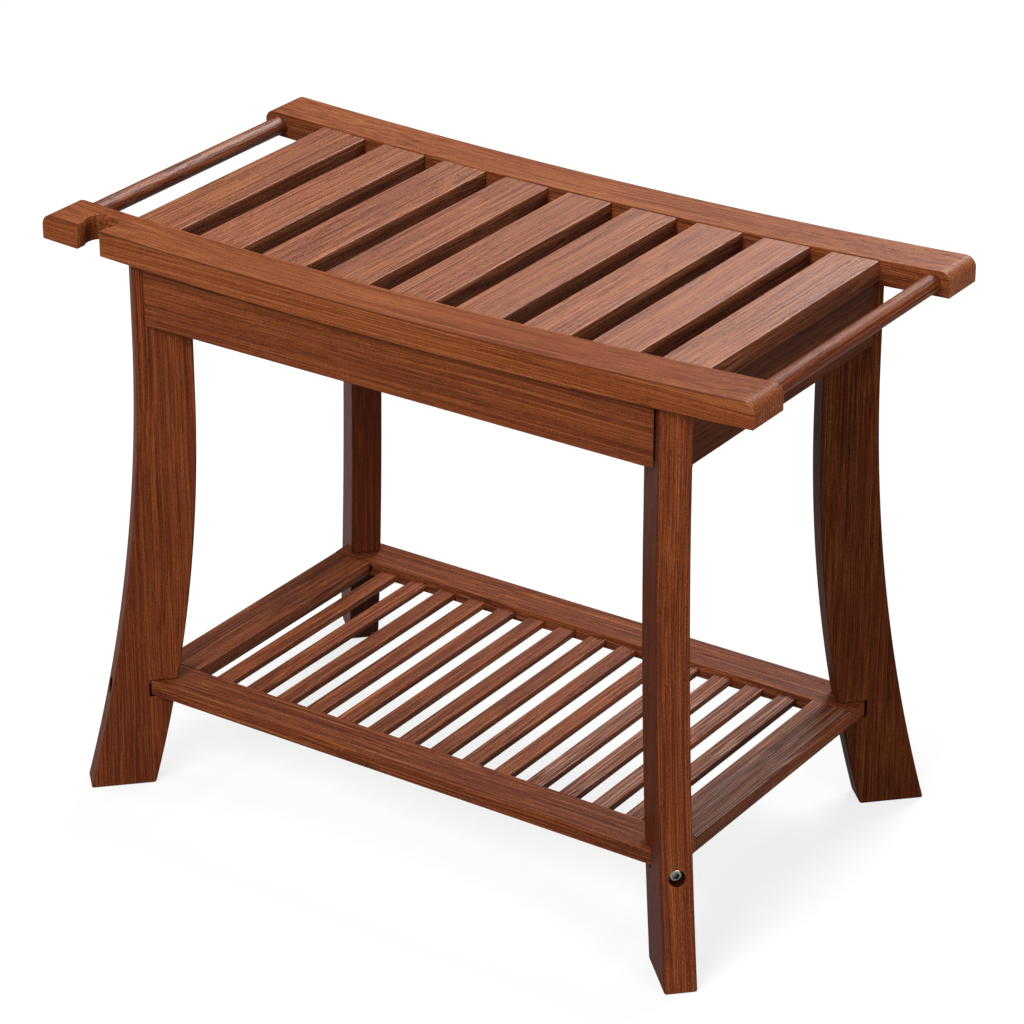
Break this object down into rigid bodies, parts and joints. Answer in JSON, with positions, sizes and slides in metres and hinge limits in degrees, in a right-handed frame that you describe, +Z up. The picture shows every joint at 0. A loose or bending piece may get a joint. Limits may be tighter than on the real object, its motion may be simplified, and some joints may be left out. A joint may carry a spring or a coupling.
{
  "type": "slatted shower bench",
  "caption": "Wooden shower bench with a dished slatted seat, towel bars past both ends, a notched hole for a hand shower, splayed corner legs and a slatted lower shelf.",
  "frame": {"origin": "on the floor, under the middle of the bench", "axes": "+X along the bench to the right, +Y to the back, +Z up; the hand-shower rest is at the front left"},
  "size_m": [0.6, 0.3608, 0.4526],
  "materials": {
    "rail_wood": "oiled teak, satin",
    "slat_wood": "oiled teak, satin",
    "bar_wood": "oiled teak, satin",
    "apron_wood": "oiled teak, satin",
    "leg_wood": "oiled teak, satin",
    "shelf_wood": "oiled teak, satin",
    "block_wood": "planed, oiled",
    "dowel_wood": "plain beech",
    "steel": "stainless",
    "brass": "plain"
  },
  "bodies": {
    "root": {"front_rail": "rail_wood", "back_rail": "rail_wood", "seat_slat_1": "slat_wood", "seat_slat_2": "slat_wood", "seat_slat_3": "slat_wood", "seat_slat_4": "slat_wood", "seat_slat_5": "slat_wood", "seat_slat_6": "slat_wood", "seat_slat_7": "slat_wood", "seat_slat_8": "slat_wood", "seat_slat_9": "slat_wood", "towel_bar_left": "bar_wood", "towel_bar_right": "bar_wood", "front_apron": "apron_wood", "back_apron": "apron_wood", "left_apron": "apron_wood", "right_apron": "apron_wood", "rail_dowels": "dowel_wood", "leg_front_left": "leg_wood", "leg_front_right": "leg_wood", "leg_back_left": "leg_wood", "leg_back_right": "leg_wood", "block_front_left": "block_wood", "block_front_right": "block_wood", "block_back_left": "block_wood", "block_back_right": "block_wood", "leg_bolts": "steel", "leg_washers": "steel", "leg_inserts": "brass", "block_screws": "steel", "shelf_front_rail": "shelf_wood", "shelf_back_rail": "shelf_wood", "shelf_end_left": "shelf_wood", "shelf_end_right": "shelf_wood", "shelf_slat_1": "shelf_wood", "shelf_slat_2": "shelf_wood", "shelf_slat_3": "shelf_wood", "shelf_slat_4": "shelf_wood", "shelf_slat_5": "shelf_wood", "shelf_slat_6": "shelf_wood", "shelf_slat_7": "shelf_wood", "shelf_slat_8": "shelf_wood", "shelf_slat_9": "shelf_wood", "shelf_slat_10": "shelf_wood", "shelf_slat_11": "shelf_wood", "shelf_slat_12": "shelf_wood", "shelf_slat_13": "shelf_wood", "shelf_slat_14": "shelf_wood", "shelf_bolts": "steel", "shelf_nuts": "steel"}
  },
  "joints": []
}
